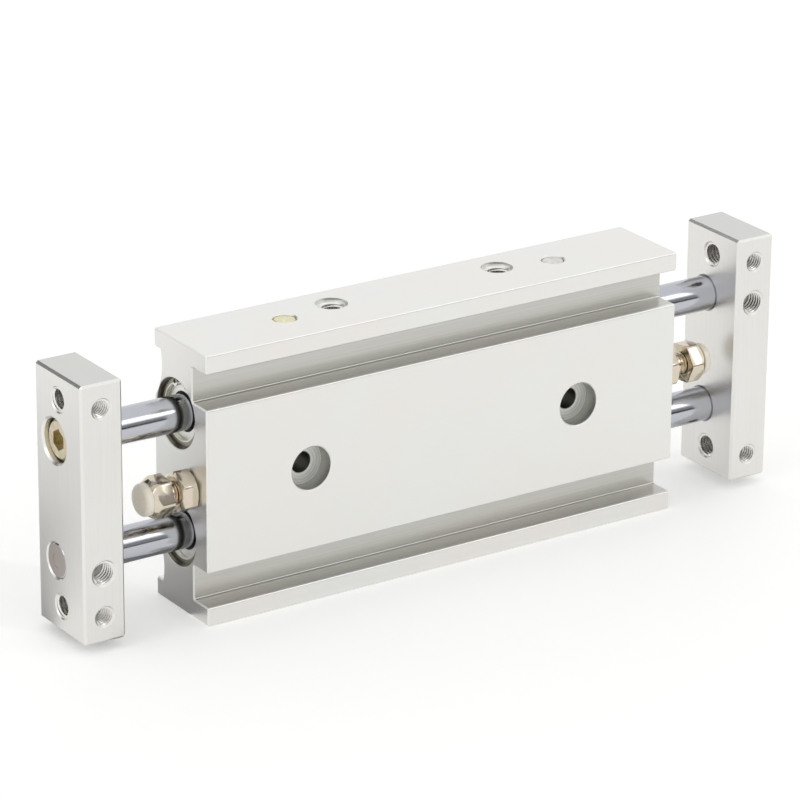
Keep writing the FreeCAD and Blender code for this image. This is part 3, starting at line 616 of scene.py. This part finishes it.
def hexagon(name, height, both_ends, angle):
    """A formed hexagon from z = 0 up, its corners rounded and its ends bevelled."""
    block = round_bar(name, CORNER_RADIUS, 0, height, 6)
    bpy.ops.object.mode_set(mode="EDIT")
    pick(block, "EDGE", lambda middle: 0.1 < middle.z < height - 0.1)
    bpy.ops.mesh.bevel(offset=CORNER_ROUNDING * MM, segments=5, affect="EDGES")
    bpy.ops.object.mode_set(mode="OBJECT")
    blank = round_bar(name + "_blank", BLANK_RADIUS, 0, height, 96)
    bevelled_end(blank, BLANK_RADIUS, height, 1, angle)
    if both_ends:
        bevelled_end(blank, BLANK_RADIUS, 0, -1, angle)
    combine(block, blank, "INTERSECT")
    return block


def softened(piece, width):
    """Rounds the sharp edges that are left, a little, and smooths the rest."""
    edges = piece.modifiers.new("edges", "BEVEL")
    edges.width = width * MM
    edges.segments = 2
    edges.limit_method = "ANGLE"
    edges.angle_limit = math.radians(24)
    apply_all(piece)
    bpy.ops.object.shade_smooth_by_angle(angle=math.radians(35))


# The hole in the head's face holds the pad's stem.
head = hexagon("stopper_bolt", HEAD_HEIGHT, False, HEAD_BEVEL)
stem_hole = round_bar("stem_hole", STEM_HOLE_RADIUS, HEAD_HEIGHT - STEM_HOLE_DEPTH,
                      HEAD_HEIGHT + 1.0, 32)
combine(head, stem_hole, "DIFFERENCE")
softened(head, 0.14)
nut = hexagon("lock_nut", NUT_HEIGHT, True, NUT_BEVEL)
combine(nut, round_bar("nut_hole", NUT_HOLE_RADIUS, -1.0, NUT_HEIGHT + 1.0, 48), "DIFFERENCE")
softened(nut, 0.12)

for side, outward in (("left", -1), ("right", 1)):
    low, high = [[c / MM for c in corner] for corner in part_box(side + "_stopper_bolt")]
    y, z = (low[1] + high[1]) / 2, (low[2] + high[2]) / 2
    length = high[0] - low[0] - HEAD_HEIGHT
    neck_x = low[0] + HEAD_HEIGHT if side == "left" else high[0] - HEAD_HEIGHT
    foot_x = HOUSING_LOW[0] if side == "left" else HOUSING_HIGH[0]
    shank = round_bar("shank", CORE_RADIUS, -length, SHANK_ROOT)
    ridge = wound_ridge("shank_thread", CORE_RADIUS - ROOT, SCREW_RADIUS, M5_PITCH, 0.0, length)
    pieces = [copy_to(part, side + "_stopper_" + word, (neck_x, y, z), (outward, 0, 0), turn)
              for part, word, turn in ((head, "bolt_new", HEAD_TURN[side]), (shank, "shank", 0.0),
                                       (ridge, "thread", 0.0))]
    remove(shank)
    remove(ridge)
    bpy.ops.object.select_all(action="DESELECT")
    for piece in pieces:
        piece.select_set(True)
    bpy.context.view_layer.objects.active = pieces[0]
    bpy.ops.object.join()
    bolt = bpy.context.object
    bolt.name = side + "_nickel_stopper_bolt"
    lock_nut = copy_to(nut, side + "_nickel_lock_nut", (foot_x, y, z), (outward, 0, 0),
                       NUT_TURN[side])
    for piece, node, body in ((bolt, side + "_stopper_bolt", side + "_stop_screw"),
                              (lock_nut, side + "_lock_nut", "housing")):
        piece.data.materials.clear()
        piece.data.materials.append(nickel)
        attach(piece, body)
        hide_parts(node)
remove(head)
remove(nut)

# ---------------------------------------------------------------- bumper pads
# Domed polyurethane pads on the stopper bolts' heads, moulded in a natural ivory: a satin skin that
# lets a little light in.
ivory, tree, surface = new_finish("moulded_polyurethane", "F6EEDF", 0.0, 0.35)
place = place_in_mm(tree)
skin = clouds(tree, place, 1.4)
colour = blend_colour(tree, skin, hex_colour("F2E9D8"), hex_colour("FAF3E6"))
tree.links.new(colour, surface.inputs["Base Color"])
tree.links.new(remap(tree, skin, 0.2, 0.8, 0.28, 0.42), surface.inputs["Roughness"])
surface.inputs["Subsurface Weight"].default_value = 0.15
surface.inputs["Subsurface Scale"].default_value = 0.6 * MM
bumps(tree, surface, clouds(tree, place, 0.5, 2.0), 0.08, 0.03)
dress(["left_bumper_pad", "right_bumper_pad"], ivory)

# ---------------------------------------------------------------- plugs
# Turned brass plugs close the two drilled air passages on top; the right one is nickel plated. Their
# faces are uneven from the press.
for name, nodes, pale, deep in (
        ("turned_brass", ["left_gallery_plug"], "E8E2C4", "D4CBA4"),
        ("nickel_plated_brass", ["right_gallery_plug"], "E4E3DE", "C8C7C0")):
    brass, tree, surface = new_finish(name, pale, 1.0, 0.28)
    place = place_in_mm(tree)
    marks = clouds(tree, place, 0.7)
    tree.links.new(blend_colour(tree, remap(tree, marks, 0.3, 0.7), hex_colour(pale), hex_colour(deep)),
                   surface.inputs["Base Color"])
    tree.links.new(remap(tree, marks, 0.2, 0.8, 0.2, 0.36), surface.inputs["Roughness"])
    dress(nodes, brass)

# ---------------------------------------------------------------- pistons
# Turned aluminium pistons with rubber seals, a filled plastic wear ring and a ferrite magnet ring,
# each held on its rod by two spring clips. They lie inside the housing.
dress(["upper_piston", "lower_piston"], turned)
dress(["upper_piston_seal", "lower_piston_seal", "left_plate_o_rings", "right_plate_o_rings"], rubber)
dress(["upper_piston_clips", "lower_piston_clips"], ring_steel)
ferrite, tree, surface = new_finish("bonded_ferrite", "2A2A2D", 0.0, 0.6)
grains = clouds(tree, place_in_mm(tree), 0.3, 2.0)
colour = blend_colour(tree, remap(tree, grains, 0.4, 0.7), hex_colour("232326"), hex_colour("3A3A3F"))
tree.links.new(colour, surface.inputs["Base Color"])
dress(["upper_magnet", "lower_magnet"], ferrite)
filled_plastic, tree, surface = new_finish("filled_acetal", "4F3A2B", 0.0, 0.5)
flecks = clouds(tree, place_in_mm(tree), 0.6, 2.0)
colour = blend_colour(tree, flecks, hex_colour("443123"), hex_colour("614A38"))
tree.links.new(colour, surface.inputs["Base Color"])
dress(["upper_wear_ring", "lower_wear_ring"], filled_plastic)

# ---------------------------------------------------------------- set screws
# Socket set screws in black oxide, in the plates' backs, which hold the rods' free ends.
black_oxide, tree, surface = new_finish("black_oxide_steel", "2A2A2B", 1.0, 0.4)
oxide = clouds(tree, place_in_mm(tree), 0.5)
colour = blend_colour(tree, oxide, hex_colour("1E1E20"), hex_colour("3C3B3A"))
tree.links.new(colour, surface.inputs["Base Color"])
tree.links.new(remap(tree, oxide, 0.2, 0.8, 0.32, 0.5), surface.inputs["Roughness"])
dress(["left_set_screw", "right_set_screw"], black_oxide)
